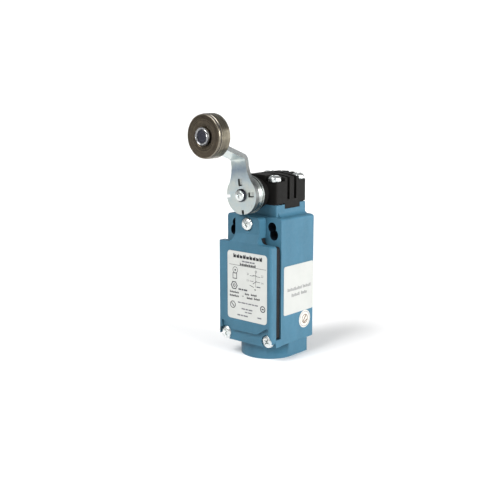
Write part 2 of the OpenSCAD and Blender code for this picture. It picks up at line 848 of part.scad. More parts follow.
module terminal_clamps() {
    y1 = base_y0 - strip_t;
    color(ZINC) datum() for (s = [-1, 1], z = [nc_terminal_z, no_terminal_z]) difference() {
        block([s * terminal_x - clamp_half, y1 - clamp_t, z - clamp_half],
            [s * terminal_x + clamp_half, y1, z + clamp_half]);
        rod_y([s * terminal_x, z], y1 - 2, y1 + over, screw_r + gap);
    }
}

module terminal_screws() {
    color(ZINC) datum() for (s = [-1, 1], z = [nc_terminal_z, no_terminal_z])
        translate([s * terminal_x, base_y0 - strip_t - clamp_t, z]) rotate([90, 0, 0])
            rotate([0, 0, 10 * s]) pan_screw(8, screw_r, term_head_r, term_head_h);
}

module carriage() {
    window_y0 = tip_y - bridge_w / 2 - 0.1;
    window_y1 = tip_y + bridge_w / 2 + 0.1;
    color(RED) datum() difference() {
        block([-carriage_half, carriage_y0, carriage_z0], [carriage_half, carriage_y1, carriage_z1]);
        block([-carriage_half - over, window_y0, nc_bridge_z - 3.4],
            [carriage_half + over, window_y1, nc_bridge_z + bridge_t + 0.05]);
        block([-carriage_half - over, window_y0, no_bridge_z - 0.05],
            [carriage_half + over, window_y1, no_bridge_z + bridge_t + 2.8]);
    }
}

module bridge(z) {
    color(BRASS) datum()
        block([-bridge_half, tip_y - bridge_w / 2, z], [bridge_half, tip_y + bridge_w / 2, z + bridge_t]);
}

module nc_bridge() {
    bridge(nc_bridge_z);
}

module no_bridge() {
    bridge(no_bridge_z);
}

module bridge_tips() {
    color(SILVER) datum() for (s = [-1, 1]) {
        rod_z([s * tip_x, tip_y], nc_bridge_z + bridge_t, nc_bridge_z + bridge_t + tip_t, tip_r);
        rod_z([s * tip_x, tip_y], no_bridge_z - tip_t, no_bridge_z, tip_r);
    }
}

module nc_bridge_spring() {
    color(STEEL) datum() translate([0, tip_y, nc_bridge_z - 3.4]) coil(5, 1.05, 3.4, 0.15);
}

module no_bridge_spring() {
    color(STEEL) datum() translate([0, tip_y, no_bridge_z + bridge_t]) coil(4, 1.05, 2.8, 0.15);
}

module carriage_spring() {
    color(STEEL) datum() translate([0, tip_y, seat_z]) coil(4, 2.2, carriage_z0 - seat_z, 0.25);
}

housing();
cover();
cover_gasket();
cover_screws();
nameplate();
entry_label();
round_sticker();
head();
head_gasket();
head_screws();
shaft_seal();
shaft_bush();
shaft();
retaining_clip();
cam();
cam_pin();
lever_hub();
lever();
lever_washer();
lever_screw();
roller_pin();
roller_washer();
roller();
follower();
follower_spring();
contact_base();
contact_cover();
block_screws();
nc_contact_left();
nc_contact_right();
no_contact_left();
no_contact_right();
fixed_tips();
terminal_clamps();
terminal_screws();
carriage_spring();
carriage();
nc_bridge();
no_bridge();
bridge_tips();
nc_bridge_spring();
no_bridge_spring();
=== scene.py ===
"""Looks of a side-rotary roller-lever limit switch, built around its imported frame."""

import json
import math

import bmesh
import bpy
from mathutils import Matrix, Vector


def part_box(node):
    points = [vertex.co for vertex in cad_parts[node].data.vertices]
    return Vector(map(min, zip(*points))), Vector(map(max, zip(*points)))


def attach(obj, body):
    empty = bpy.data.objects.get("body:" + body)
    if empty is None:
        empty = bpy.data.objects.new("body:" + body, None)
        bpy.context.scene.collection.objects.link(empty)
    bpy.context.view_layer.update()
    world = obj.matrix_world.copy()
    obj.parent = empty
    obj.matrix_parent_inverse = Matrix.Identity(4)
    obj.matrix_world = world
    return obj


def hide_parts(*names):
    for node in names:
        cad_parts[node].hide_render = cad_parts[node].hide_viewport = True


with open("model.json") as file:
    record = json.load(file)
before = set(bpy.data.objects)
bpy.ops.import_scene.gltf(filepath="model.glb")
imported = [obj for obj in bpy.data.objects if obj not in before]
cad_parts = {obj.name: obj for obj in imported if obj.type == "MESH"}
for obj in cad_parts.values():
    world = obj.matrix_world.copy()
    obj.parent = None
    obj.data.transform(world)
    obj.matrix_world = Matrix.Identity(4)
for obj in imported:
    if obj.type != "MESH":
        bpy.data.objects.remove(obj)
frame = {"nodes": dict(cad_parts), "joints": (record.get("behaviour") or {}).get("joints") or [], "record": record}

bl_info = {
    "name": "Roller Lever Limit Switch",
    "version": (1, 0, 0),
    "blender": (4, 5, 0),
    "location": "View3D > Sidebar > Limit Switch",
    "description": "Builds the moulded, turned and printed pieces of a roller-lever limit switch",
    "category": "Add Mesh",
}

MM = 0.001
FULL_TURN = 2 * math.pi
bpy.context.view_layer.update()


def joint(name):
    """The record's joint of that name."""
    return next(j for j in frame["joints"] if j["name"] == name)


def mount(name):
    """The record's mount of that name."""
    return next(m for m in frame["record"]["mounts"] if m["name"] == name)


SHAFT = Vector(joint("lever_swing")["pos_m"])
PIN = Vector(joint("roller_spin")["pos_m"])
LEVER_LEAN = math.atan2(SHAFT.x - PIN.x, PIN.z - SHAFT.z)
FLOOR_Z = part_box("housing")[0].z
MIX_A, MIX_B, MIX_RESULT = 6, 7, 2      # the colour sockets of a mix node
PAN_R, PAN_SHANK_R = 2.8, 1.5           # the cover's and the head's screws, in millimetres
STROKES = (1.0, 0.68, 0.75, 0.9, 0.62)  # heights of the upright strokes in a row of signs


# ---- settings ----

def colour_setting(name, description, default):
    """A colour in a group of settings."""
    return bpy.props.FloatVectorProperty(name=name, description=description, subtype="COLOR",
                                         default=default, min=0, max=1)


def length_setting(name, description, default, low, high):
    """A length and its range in a group of settings, given in millimetres."""
    return bpy.props.FloatProperty(name=name, description=description, default=default * MM,
                                   min=low * MM, max=high * MM, unit="LENGTH")


class SwitchColours(bpy.types.PropertyGroup):
    """Colours of the mouldings, metals and films."""

    body: colour_setting("Body", "Moulded body and cover", (0.0345, 0.114, 0.172))
    head: colour_setting("Head", "Moulded head", (0.0078, 0.0075, 0.007))
    rubber: colour_setting("Rubber", "Gaskets and seal", (0.004, 0.004, 0.005))
    zinc: colour_setting("Zinc", "Plated lever and hub", (0.60, 0.655, 0.642))
    steel: colour_setting("Steel", "Ground shaft, pins and springs", (0.42, 0.43, 0.45))
    roller: colour_setting("Roller", "Dark nickel plate of the roller", (0.088, 0.073, 0.055))
    film: colour_setting("Film", "Printed label film", (0.465, 0.475, 0.455))
    ink: colour_setting("Ink", "Printing on the labels", (0.02, 0.02, 0.025))


class SwitchSizes(bpy.types.PropertyGroup):
    """Sizes of the finishing details."""

    body_edge: length_setting("Body Edge", "Rounding of the body's moulded edges", 0.4, 0.1, 0.8)
    panel_edge: length_setting("Panel Edge", "Rounding of the cover's edges", 0.5, 0.1, 0.8)
    head_edge: length_setting("Head Edge", "Rounding of the head's moulded edges", 0.25, 0.1, 0.5)
    sheet_edge: length_setting("Sheet Edge", "Rounding of the lever's stamped edges", 0.2, 0.05, 0.4)
    screw_pitch: length_setting("Screw Pitch", "Pitch of the machine screws", 0.5, 0.4, 0.7)
    conduit_pitch: length_setting("Conduit Pitch", "Pitch of the 14 per inch conduit thread", 1.814, 1, 2)
    print_height: length_setting("Print Height", "How far the printing stands on the film", 0.02, 0.005, 0.03)


class StageSettings(bpy.types.PropertyGroup):
    """Camera and lights."""

    azimuth: bpy.props.FloatProperty(
        name="Azimuth", description="Direction of the camera, from straight ahead of the cover",
        default=math.radians(40.71), subtype="ANGLE")
    elevation: bpy.props.FloatProperty(
        name="Elevation", description="Height of the camera above level",
        default=math.radians(11.1), subtype="ANGLE")
    distance: bpy.props.FloatProperty(
        name="Distance", description="From the aim point to the camera",
        default=0.3851, unit="LENGTH")
    lens: bpy.props.FloatProperty(
        name="Lens", description="Focal length of the camera in millimetres", default=63.56)
    aim: bpy.props.FloatVectorProperty(
        name="Aim", description="Point in the middle of the view", subtype="TRANSLATION",
        default=(-0.0057, -0.0184, -0.0122))
    key_strength: bpy.props.FloatProperty(
        name="Key Light", description="Strength of the soft light on the right", default=4.4)
    front_strength: bpy.props.FloatProperty(
        name="Front Light", description="Strength of the soft light above the camera", default=3.0)
    strip_power: bpy.props.FloatProperty(
        name="Strip Light", description="Power of the narrow light behind on the right, in watts", default=0.6)
    room: bpy.props.FloatProperty(
        name="Room", description="Brightness of the room beside the white backdrop", default=0.40)


def settings():
    """The colours, sizes and stage values in use."""
    scene = bpy.context.scene
    return scene.switch_colours, scene.switch_sizes, scene.switch_stage


# ---- materials ----

def map_range(tree, value, low, high, to_low, to_high):
    """A node that carries a driver's range over to another one."""
    span = tree.nodes.new("ShaderNodeMapRange")
    for key, number in (("From Min", low), ("From Max", high), ("To Min", to_low), ("To Max", to_high)):
        span.inputs[key].default_value = number
    tree.links.new(value, span.inputs["Value"])
    return span.outputs["Result"]


class Surface:
    """A procedural material under construction, read on Object coordinates."""

    def __init__(self, name, centre=(0, 0, 0), turn=0.0):
        self.material = bpy.data.materials.new(name)
        self.material.use_nodes = True
        self.tree = self.material.node_tree
        self.shader = self.tree.nodes["Principled BSDF"]
        place = self.add("ShaderNodeTexCoord")
        mapping = self.add("ShaderNodeMapping", vector_type="TEXTURE")
        mapping.inputs["Location"].default_value = centre
        mapping.inputs["Rotation"].default_value = (0, turn, 0)
        self.join(place.outputs["Object"], mapping.inputs["Vector"])
        self.place = mapping.outputs["Vector"]
        self.normal = None

    def add(self, kind, **values):
        """A new node with its settings."""
        node = self.tree.nodes.new(kind)
        for key, value in values.items():
            setattr(node, key, value)
        return node

    def join(self, out, into):
        """Links two sockets."""
        self.tree.links.new(out, into)

    def plain(self, **sockets):
        """Sets the shader's own sockets."""
        for key, value in sockets.items():
            self.shader.inputs[key.replace("_", " ")].default_value = value
        return self

    def stretched(self, scale):
        """The coordinates scaled unevenly, for brushed or drawn marks."""
        mapping = self.add("ShaderNodeMapping")
        mapping.inputs["Scale"].default_value = scale
        self.join(self.place, mapping.inputs["Vector"])
        return mapping.outputs["Vector"]

    def noise(self, size, detail=2.0, rough=0.5, vector=None):
        """Cloudy noise whose features are about size metres across."""
        node = self.add("ShaderNodeTexNoise")
        node.inputs["Scale"].default_value = 1 / size
        node.inputs["Detail"].default_value = detail
        node.inputs["Roughness"].default_value = rough
        self.join(vector or self.place, node.inputs["Vector"])
        return node.outputs["Fac"]

    def math(self, kind, a, b=None):
        """A sum of sockets or numbers."""
        node = self.add("ShaderNodeMath", operation=kind)
        for socket, value in zip(node.inputs, (a, b)):
            if value is None:
                continue
            if isinstance(value, (int, float)):
                socket.default_value = value
            else:
                self.join(value, socket)
        return node.outputs["Value"]

    def axes(self):
        """The mapped X, Y and Z."""
        split = self.add("ShaderNodeSeparateXYZ")
        self.join(self.place, split.inputs["Vector"])
        return split.outputs["X"], split.outputs["Y"], split.outputs["Z"]

    def radius(self):
        """Distance from the Y axis through the mapped centre."""
        x, _, z = self.axes()
        return self.math("SQRT", self.math("ADD", self.math("MULTIPLY", x, x), self.math("MULTIPLY", z, z)))

    def turning(self, size, swirl=0.15):
        """Noise that runs in rings round the Y axis and along it, like a lathe's marks."""
        x, y, z = self.axes()
        ring = self.add("ShaderNodeCombineXYZ")
        self.join(self.radius(), ring.inputs["X"])
        self.join(y, ring.inputs["Y"])
        self.join(self.math("MULTIPLY", self.math("ARCTAN2", z, x), swirl * size), ring.inputs["Z"])
        return self.noise(size, 3, 0.65, ring.outputs["Vector"])

    def spread(self, value, low, high, to_low=0.0, to_high=1.0):
        """A driver's range carried over to another one."""
        return map_range(self.tree, value, low, high, to_low, to_high)

    def ramp(self, value, low, high, stops):
        """Colours spread between two values of a driver."""
        ramp = self.add("ShaderNodeValToRGB")
        elements = ramp.color_ramp.elements
        for spot, (place, colour) in enumerate(sorted(stops)):
            element = elements[spot] if spot < 2 else elements.new(place)
            element.position = place
            element.color = (*colour[:3], 1)
        self.join(self.spread(value, low, high), ramp.inputs["Fac"])
        return ramp.outputs["Color"]

    def multiplied(self, a, b):
        """Two colours multiplied."""
        node = self.add("ShaderNodeMix", data_type="RGBA", blend_type="MULTIPLY")
        node.inputs["Factor"].default_value = 1.0
        self.join(a, node.inputs[MIX_A])
        self.join(b, node.inputs[MIX_B])
        return node.outputs[MIX_RESULT]

    def colour(self, out):
        """Colours the surface."""
        self.join(out, self.shader.inputs["Base Color"])
        return self

    def roughness(self, value, low, high):
        """Roughness that follows a noise."""
        self.join(self.spread(value, 0.3, 0.7, low, high), self.shader.inputs["Roughness"])
        return self

    def bump(self, height, depth, strength=1.0):
        """Adds relief: depth is its height in metres."""
        node = self.add("ShaderNodeBump")
        node.inputs["Strength"].default_value = strength
        node.inputs["Distance"].default_value = depth
        self.join(height, node.inputs["Height"])
        if self.normal:
            self.join(self.normal, node.inputs["Normal"])
        self.normal = node.outputs["Normal"]
        self.join(self.normal, self.shader.inputs["Normal"])
        return self


def shade(colour, factor):
    """A lighter or darker version of a colour."""
    return tuple(min(1.0, c * factor) for c in colour[:3])


def moulded_plastic(name, colour, rough=0.42, gloss=0.45, grain=0.16 * MM, relief=0.006 * MM):
    """Glass-filled plastic: spark-eroded grain, faint flow marks and rubbed, dusty patches."""
    s = Surface(name)
    flow = s.ramp(s.noise(9 * MM, 3, 0.55, s.stretched((1, 1, 0.45))), 0.3, 0.7,
                  [(0, shade(colour, 0.90)), (1, shade(colour, 1.10))])
    speck = s.ramp(s.noise(0.35 * MM, 3, 0.7), 0.3, 0.72, [(0, (0.9, 0.9, 0.9)), (1, (1.08, 1.08, 1.08))])
    s.colour(s.multiplied(flow, speck))
    s.roughness(s.noise(1.6 * MM, 4, 0.6), rough - 0.07, rough + 0.09)
    s.bump(s.noise(grain, 2, 0.6), relief, 0.7)
    s.bump(s.noise(5 * MM, 1, 0.4), 0.02 * MM, 0.35)
    return s.plain(Specular_IOR_Level=gloss).material


def soft_rubber(name, colour):
    """Nitrile rubber with bloom and fine moulding pits."""
    s = Surface(name)
    s.colour(s.ramp(s.noise(2.5 * MM, 4, 0.6), 0.3, 0.75, [(0, colour), (1, shade(colour, 2.0))]))
    s.roughness(s.noise(0.8 * MM, 3), 0.62, 0.8)
    s.bump(s.noise(0.12 * MM, 2), 0.01 * MM, 0.6)
    return s.plain(Specular_IOR_Level=0.25).material


def plated_lever(name, colour):
    """Zinc plate on the stamped lever: drawn lines, a painted reflection that is darker and bluish across the bend
    and full brightness above it, fine pits.
    """
    s = Surface(name, tuple(SHAFT), -LEVER_LEAN)
    cool = (colour[0] * 0.88, colour[1] * 0.97, colour[2] * 1.04)
    warm = (colour[0] * 1.10, colour[1] * 1.07, colour[2] * 1.00)
    cloud = s.ramp(s.noise(4.2 * MM, 4, 0.62), 0.32, 0.68, [(0, cool), (0.5, colour[:]), (1, warm)])
    _, _, height = s.axes()
    # painted reflection along the lever's height: darker and bluish across the bend, full brightness above it
    band = s.ramp(s.math("ADD", height, s.spread(s.noise(3 * MM, 3), 0.3, 0.7, -0.8 * MM, 0.8 * MM)),
                  5 * MM, 19 * MM,
                  [(0, (0.8, 0.8, 0.8)), (0.18, (0.60, 0.64, 0.70)), (0.42, (0.36, 0.41, 0.50)),
                   (0.60, (0.60, 0.64, 0.68)), (0.75, (1.0, 1.0, 1.0))])
    s.colour(s.multiplied(cloud, band))
    lines = s.noise(1 * MM, 3, 0.6, s.stretched((7, 7, 0.4)))
    s.roughness(lines, 0.26, 0.46)
    s.bump(lines, 0.012 * MM, 0.4)
    s.bump(s.noise(0.3 * MM, 2), 0.006 * MM, 0.5)
    return s.plain(Metallic=1.0).material


def plated_metal(name, colour, rough=0.24):
    """Bright zinc plate of screws and clamps, with a cool and a warm tint."""
    s = Surface(name)
    cool = (colour[0] * 0.9, colour[1] * 0.98, colour[2] * 1.03)
    s.colour(s.ramp(s.noise(1.4 * MM, 4, 0.6), 0.3, 0.7, [(0, shade(cool, 0.86)), (1, shade(colour, 1.12))]))
    s.roughness(s.noise(0.7 * MM, 3), rough - 0.06, rough + 0.14)
    s.bump(s.noise(0.2 * MM, 2), 0.006 * MM, 0.5)
    return s.plain(Metallic=1.0).material


def turned_metal(name, colour, centre, rough=0.27, size=0.5 * MM, contrast=0.4):
    """Lathe-turned metal: fine rings in tone, gloss and relief, with soft stains."""
    s = Surface(name, centre)
    rings = s.turning(size)
    tone = s.ramp(rings, 0.3, 0.7, [(0, shade(colour, 1 - contrast)), (1, shade(colour, 1 + contrast))])
    stain = s.ramp(s.noise(3.2 * MM, 4, 0.6), 0.3, 0.72, [(0, (0.75, 0.74, 0.76)), (1, (1.2, 1.18, 1.12))])
    s.colour(s.multiplied(tone, stain))
    s.roughness(rings, rough - 0.06, rough + 0.13)
    s.bump(rings, 0.012 * MM, 0.45)
    s.bump(s.noise(0.3 * MM, 2), 0.004 * MM, 0.3)
    return s.plain(Metallic=1.0).material


def stamped_metal(name, colour, rough=0.3):
    """Brass, bronze, silver or steel with tarnish and a fine grain."""
    s = Surface(name)
    s.colour(s.ramp(s.noise(1.8 * MM, 4, 0.6), 0.3, 0.7, [(0, shade(colour, 0.8)), (1, shade(colour, 1.12))]))
    s.roughness(s.noise(0.6 * MM, 3), rough - 0.06, rough + 0.12)
    s.bump(s.noise(0.1 * MM, 2), 0.004 * MM, 0.5)
    return s.plain(Metallic=1.0).material


def label_film(name, colour):
    """Satin printed film with slight unevenness and handling marks."""
    s = Surface(name)
    s.colour(s.ramp(s.noise(6 * MM, 4, 0.55), 0.3, 0.7, [(0, shade(colour, 0.955)), (1, shade(colour, 1.02))]))
    s.roughness(s.noise(1.2 * MM, 3), 0.36, 0.5)
    s.bump(s.noise(0.5 * MM, 2), 0.004 * MM, 0.5)
    return s.plain(Specular_IOR_Level=0.4).material


def printing_ink(name, colour):
    """Ink with slightly uneven coverage."""
    s = Surface(name)
    s.colour(s.ramp(s.noise(0.35 * MM, 3), 0.35, 0.7, [(0, colour[:]), (1, shade(colour, 2.2))]))
    s.roughness(s.noise(0.5 * MM, 2), 0.4, 0.6)
    return s.plain(Specular_IOR_Level=0.3).material


def clear_moulding(name, colour):
    """Amber moulding of the contact chamber's cover."""
    s = Surface(name)
    s.colour(s.ramp(s.noise(5 * MM, 2), 0.3, 0.7, [(0, shade(colour, 0.85)), (1, shade(colour, 1.1))]))
    s.roughness(s.noise(1 * MM, 2), 0.12, 0.25)
    s.bump(s.noise(2 * MM, 2), 0.01 * MM, 0.3)
    return s.plain(Coat_Weight=0.4).material


def pale_floor(name):
    """Seamless white paper."""
    s = Surface(name)
    s.colour(s.ramp(s.noise(0.3, 2), 0.3, 0.7, [(0, (0.90, 0.90, 0.90)), (1, (0.92, 0.92, 0.92))]))
    return s.plain(Roughness=0.9, Specular_IOR_Level=0.1).material


def material(name):
    """A finish that has been made, by name."""
    found = bpy.data.materials.get(name)
    if found is None:
        raise RuntimeError(f"the finish {name} hasn't been made yet")
    return found


def paint(finish, *nodes):
    """Gives carried-over CAD nodes their finish."""
    for node in nodes:
        piece = frame["nodes"][node]
        if not piece.data.materials:
            piece.data.materials.append(material(finish))
        for slot in piece.material_slots:
            slot.material = material(finish)


# ---- mesh helpers ----

def finished(bm, name, finish, body, replaces=(), sharp=32.0):
    """Writes a bmesh to an object, smooth but for its sharp edges, and rides it on its body."""
    mesh = bpy.data.meshes.new(name)
    bm.to_mesh(mesh)
    bm.free()
    mesh.polygons.foreach_set("use_smooth", [True] * len(mesh.polygons))
    mesh.set_sharp_from_angle(angle=math.radians(sharp))
    mesh.materials.append(material(finish))
    piece = bpy.data.objects.new(name, mesh)
    bpy.context.scene.collection.objects.link(piece)
    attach(piece, body)
    if replaces:
        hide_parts(*replaces)
    return piece


def weighted(piece):
    """Evens the shading of large flat faces beside small rounded edges."""
    modifier = piece.modifiers.new("Weighted Normals", "WEIGHTED_NORMAL")
    modifier.keep_sharp = True
    return piece


def cad_shell(node):
    """A merged copy of a CAD node's mesh with its flat faces whole."""
    bm = bmesh.new()
    bm.from_mesh(frame["nodes"][node].data)
    bmesh.ops.remove_doubles(bm, verts=bm.verts, dist=0.0015 * MM)
    bmesh.ops.dissolve_limit(bm, angle_limit=math.radians(0.25), verts=bm.verts, edges=bm.edges)
    return bm


def round_edges(bm, width, segments=3, where=None, angle=28.0):
    """Bevels the sharp edges whose ends both pass a test, given in millimetres."""
    limit = math.radians(angle)
    chosen = [
        e for e in bm.edges
        if len(e.link_faces) == 2 and e.calc_face_angle(0) > limit
        and (where is None or all(where(v.co / MM) for v in e.verts))
    ]
    bmesh.ops.bevel(bm, geom=chosen, offset=width, offset_type="OFFSET", segments=segments,
                    profile=0.5, affect="EDGES", clamp_overlap=True, material=-1)


def turned(profile, steps=64):
    """A solid of revolution round Z from (radius, height) points in millimetres."""
    bm = bmesh.new()
    verts = [bm.verts.new((r * MM, 0, z * MM)) for r, z in profile]
    edges = [bm.edges.new(pair) for pair in zip(verts, verts[1:])]
    bmesh.ops.spin(bm, geom=verts + edges, cent=(0, 0, 0), axis=(0, 0, 1), angle=FULL_TURN,
                   steps=steps, use_merge=True, use_duplicate=False)
    bmesh.ops.remove_doubles(bm, verts=bm.verts, dist=0.001 * MM)
    bmesh.ops.recalc_face_normals(bm, faces=bm.faces)
    return bm


def arc(cx, cz, r, start, end, steps=5):
    """Points of an arc in a profile, with angles in degrees from the radius towards the height."""
    return [
        (cx + r * math.cos(math.radians(start + (end - start) * k / steps)),
         cz + r * math.sin(math.radians(start + (end - start) * k / steps)))
        for k in range(steps + 1)
    ]


def facing(direction, place, twist=0.0):
    """A matrix that stands a piece drawn along +Z on a place, pointing along a direction."""
    turn = Vector(direction).to_track_quat("Z", "Y").to_matrix().to_4x4()
    return Matrix.Translation(place) @ turn @ Matrix.Rotation(twist, 4, "Z")


def added(bm, other, matrix=None):
    """Moves a second bmesh into the first one."""
    if matrix is not None:
        bmesh.ops.transform(other, matrix=matrix, verts=other.verts)
    mesh = bpy.data.meshes.new("part")
    other.to_mesh(mesh)
    other.free()
    bm.from_mesh(mesh)
    bpy.data.meshes.remove(mesh)


def carved(bm, cutter):
    """The first bmesh with the second one cut out of it."""
    objects = []
    for part in (bm, cutter):
        mesh = bpy.data.meshes.new("part")
        part.to_mesh(mesh)
        part.free()
        objects.append(bpy.data.objects.new("part", mesh))
        bpy.context.scene.collection.objects.link(objects[-1])
    cut = objects[0].modifiers.new("Cut", "BOOLEAN")
    cut.object = objects[1]
    cut.operation = "DIFFERENCE"
    cut.solver = "EXACT"
    cut.use_self = True
    graph = bpy.context.evaluated_depsgraph_get()
    result = bmesh.new()
    result.from_mesh(objects[0].evaluated_get(graph).data)
    for piece in objects:
        mesh = piece.data
        bpy.data.objects.remove(piece)
        bpy.data.meshes.remove(mesh)
    return result


def slab(bm, low, high, matrix=Matrix()):
    """A rectangular solid between two corners in millimetres."""
    low, high = Vector(low) * MM, Vector(high) * MM
    size = high - low
    stand = matrix @ Matrix.Translation((low + high) / 2) @ Matrix.Diagonal((*size, 1))
    return bmesh.ops.create_cube(bm, size=1, matrix=stand)["verts"]


# ---- screws ----

def cross_recess(r, top, depth):
    """The tapered cross of a driver's tip."""
    bm = bmesh.new()
    for turn in (0, math.pi / 2):
        verts = slab(bm, (-r * 0.62, -r * 0.13, top - depth), (r * 0.62, r * 0.13, top + 0.5),
                     Matrix.Rotation(turn, 4, "Z"))
        for v in verts:
            if v.co.z < (top - depth / 2) * MM:
                v.co.x *= 0.45
                v.co.y *= 0.45
    bmesh.ops.create_cone(bm, cap_ends=True, segments=12, radius1=r * 0.08 * MM, radius2=r * 0.3 * MM,
                          depth=(depth + 0.5) * MM,
                          matrix=Matrix.Translation((0, 0, (top - depth / 2 + 0.25) * MM)))
    return bm


def pan_screw(r, height, shank_r, length, pitch):
    """A pan head machine screw along -Z with the head's underside at z = 0, all in millimetres."""
    shoulder = height * 0.52
    dome = [(0, height), (r * 0.35, height - 0.015), (r * 0.6, height - 0.06)]
    dome += arc(r - shoulder * 0.82, height - shoulder - 0.1, shoulder * 0.82, 72, 0, 7)
    rim = [(r, 0.25), (r - 0.08, 0.06), (r - 0.22, 0), (shank_r, 0), (shank_r, -0.2)]
    crest, root = shank_r, shank_r - 0.18
    turns = int((length - 0.8) / pitch)
    thread = []
    for k in range(turns):
        z = -0.2 - pitch * k
        thread += [(root, z - pitch * 0.4), (root, z - pitch * 0.55),
                   (crest, z - pitch * 0.9), (crest, z - pitch)]
    end = [(crest - 0.35, -length), (0, -length)]
    head = turned(dome + rim + thread + end, 40)
    return carved(head, cross_recess(r, height, min(1.1, height * 0.6)))


# ---- operators ----

class SWITCH_OT_finishes(bpy.types.Operator):
    """Make every finish of the switch"""

    bl_idname = "limit_switch.finishes"
    bl_label = "Finishes"

    def execute(self, context):
        colours, _, _ = settings()
        moulded_plastic("blue plastic", colours.body, rough=0.5, gloss=0.32)
        # painted shade: a darker copy of the body plastic for the downward faces of the cover's lower step
        moulded_plastic("blue painted shade", shade(colours.body, 0.62), rough=0.6, gloss=0.2)
        moulded_plastic("black plastic", colours.head, rough=0.5, gloss=0.09)
        moulded_plastic("cream plastic", (0.62, 0.57, 0.44), rough=0.4)
        moulded_plastic("red plastic", (0.30, 0.035, 0.025), rough=0.4)
        clear_moulding("amber plastic", (0.42, 0.27, 0.09))
        soft_rubber("black rubber", colours.rubber)
        plated_lever("zinc lever", colours.zinc)
        plated_metal("zinc screws", (0.70, 0.71, 0.69))
        turned_metal("turned zinc", shade(colours.zinc, 0.62), tuple(SHAFT), rough=0.24, contrast=0.2)
        turned_metal("turned nickel", colours.roller, tuple(PIN))
        turned_metal("turned band", (0.17, 0.155, 0.12), tuple(PIN), rough=0.26, size=0.35 * MM, contrast=0.5)
        # painted highlight: a lighter copy of the roller's band metal for the bright lines on its front chamfer
        # and groove lip
        turned_metal("painted highlight edge", (0.21, 0.19, 0.155), tuple(PIN), rough=0.24, contrast=0.3)
        turned_metal("turned steel", shade(colours.steel, 0.8), tuple(PIN), rough=0.22, contrast=0.3)
        # dark steel: the spring washer's own dark steel, whose dark ring round the screw head is also painted
        # shadow; painted shade in the roller's groove; and the darker hollow end of the rivet
        turned_metal("dark steel and painted shade", (0.05, 0.052, 0.068), tuple(PIN), rough=0.33, size=0.35 * MM, contrast=0.6)
        stamped_metal("sheared edge", (0.17, 0.18, 0.178), rough=0.42)
        # painted shade: a near-black copy of the body plastic for the walls inside the mounting holes
        moulded_plastic("bore painted shade", (0.004, 0.008, 0.014), rough=0.6, gloss=0.1)
        stamped_metal("ground steel", colours.steel)
        stamped_metal("spring steel", shade(colours.steel, 0.35), rough=0.3)
        stamped_metal("bronze", (0.42, 0.25, 0.11), rough=0.4)
        stamped_metal("brass", (0.72, 0.49, 0.18), rough=0.28)
        stamped_metal("silver", (0.82, 0.81, 0.78), rough=0.22)
        label_film("label film", colours.film)
        # painted shade: the side label's film is a darker copy of the front film, offsetting the stronger light on
        # the right side
        label_film("side film", shade(colours.film, 0.82))
        label_film("cream film", (0.50, 0.49, 0.45))
        printing_ink("black ink", colours.ink)
        printing_ink("grey ink", (0.03, 0.03, 0.036))
        printing_ink("pale ink", (0.09, 0.09, 0.10))
        printing_ink("brown ink", (0.09, 0.055, 0.035))
        return {"FINISHED"}


class SWITCH_OT_housing(bpy.types.Operator):
    """Round the housing's moulded edges and cut its conduit thread"""

    bl_idname = "limit_switch.housing"
    bl_label = "Housing"

    def execute(self, context):
        _, sizes, _ = settings()
        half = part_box("housing")[1].x / MM
        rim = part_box("cover_gasket")[1].y / MM
        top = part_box("cover")[1].z / MM
        foot = FLOOR_Z / MM

        def outside(p):
            on_side = abs(abs(p.x) - half) < 0.3
            return on_side or p.y > -0.5 or p.z > top - 0.05 or p.z < foot + 0.05 or p.y < rim + 0.02

        bm = cad_shell("housing")
        round_edges(bm, sizes.body_edge * 0.8, 3, outside)
        piece = weighted(finished(bm, "housing_moulding", "blue plastic", "body", ["housing"]))
        # painted shade: the walls inside the ear holes get the near-black plastic
        piece.data.materials.append(material("bore painted shade"))
        ear = mount("mounting_holes")["dims"]
        hole_low, hole_high = -6, 2.5
        for face in piece.data.polygons:
            x, _, z = face.center / MM
            wall = abs(face.normal.y) < 0.2 and face.center.y > (rim + 0.3) * MM
            beside = abs(abs(x) - ear["spacing_x_mm"] / 2) < ear["hole_r_mm"] + 1.1
            if wall and beside and hole_low < z < hole_high:
                face.material_index = 1
        self.thread(sizes)
        return {"FINISHED"}

    def thread(self, sizes):
        """Rounded ridges of the conduit thread, as one screw-shaped sweep."""
        entry = mount("conduit_entry")
        mouth = Vector(entry["pos_m"])
        wall = entry["dims"]["r_mm"]
        pitch = sizes.conduit_pitch
        turns = 6
        bm = bmesh.new()
        ridge = [(wall + 0.02, -0.42), (wall - 0.3, -0.14), (wall - 0.38, 0), (wall - 0.3, 0.14),
                 (wall + 0.02, 0.42)]
        verts = [bm.verts.new((r * MM, 0, 1.1 * MM + z * MM)) for r, z in ridge]
        edges = [bm.edges.new(pair) for pair in zip(verts, verts[1:] + verts[:1])]
        steps = 48 * turns
        made = bmesh.ops.spin(bm, geom=verts + edges, cent=(0, 0, 0), axis=(0, 0, 1), angle=FULL_TURN * turns,
                              dvec=(0, 0, pitch * turns / steps), steps=steps, use_merge=False,
                              use_duplicate=False)
        bmesh.ops.contextual_create(bm, geom=verts + edges)
        bmesh.ops.contextual_create(bm, geom=made["geom_last"])
        bmesh.ops.recalc_face_normals(bm, faces=bm.faces)
        bmesh.ops.transform(bm, matrix=Matrix.Translation(mouth), verts=bm.verts)
        finished(bm, "conduit_thread", "blue plastic", "body", sharp=50)


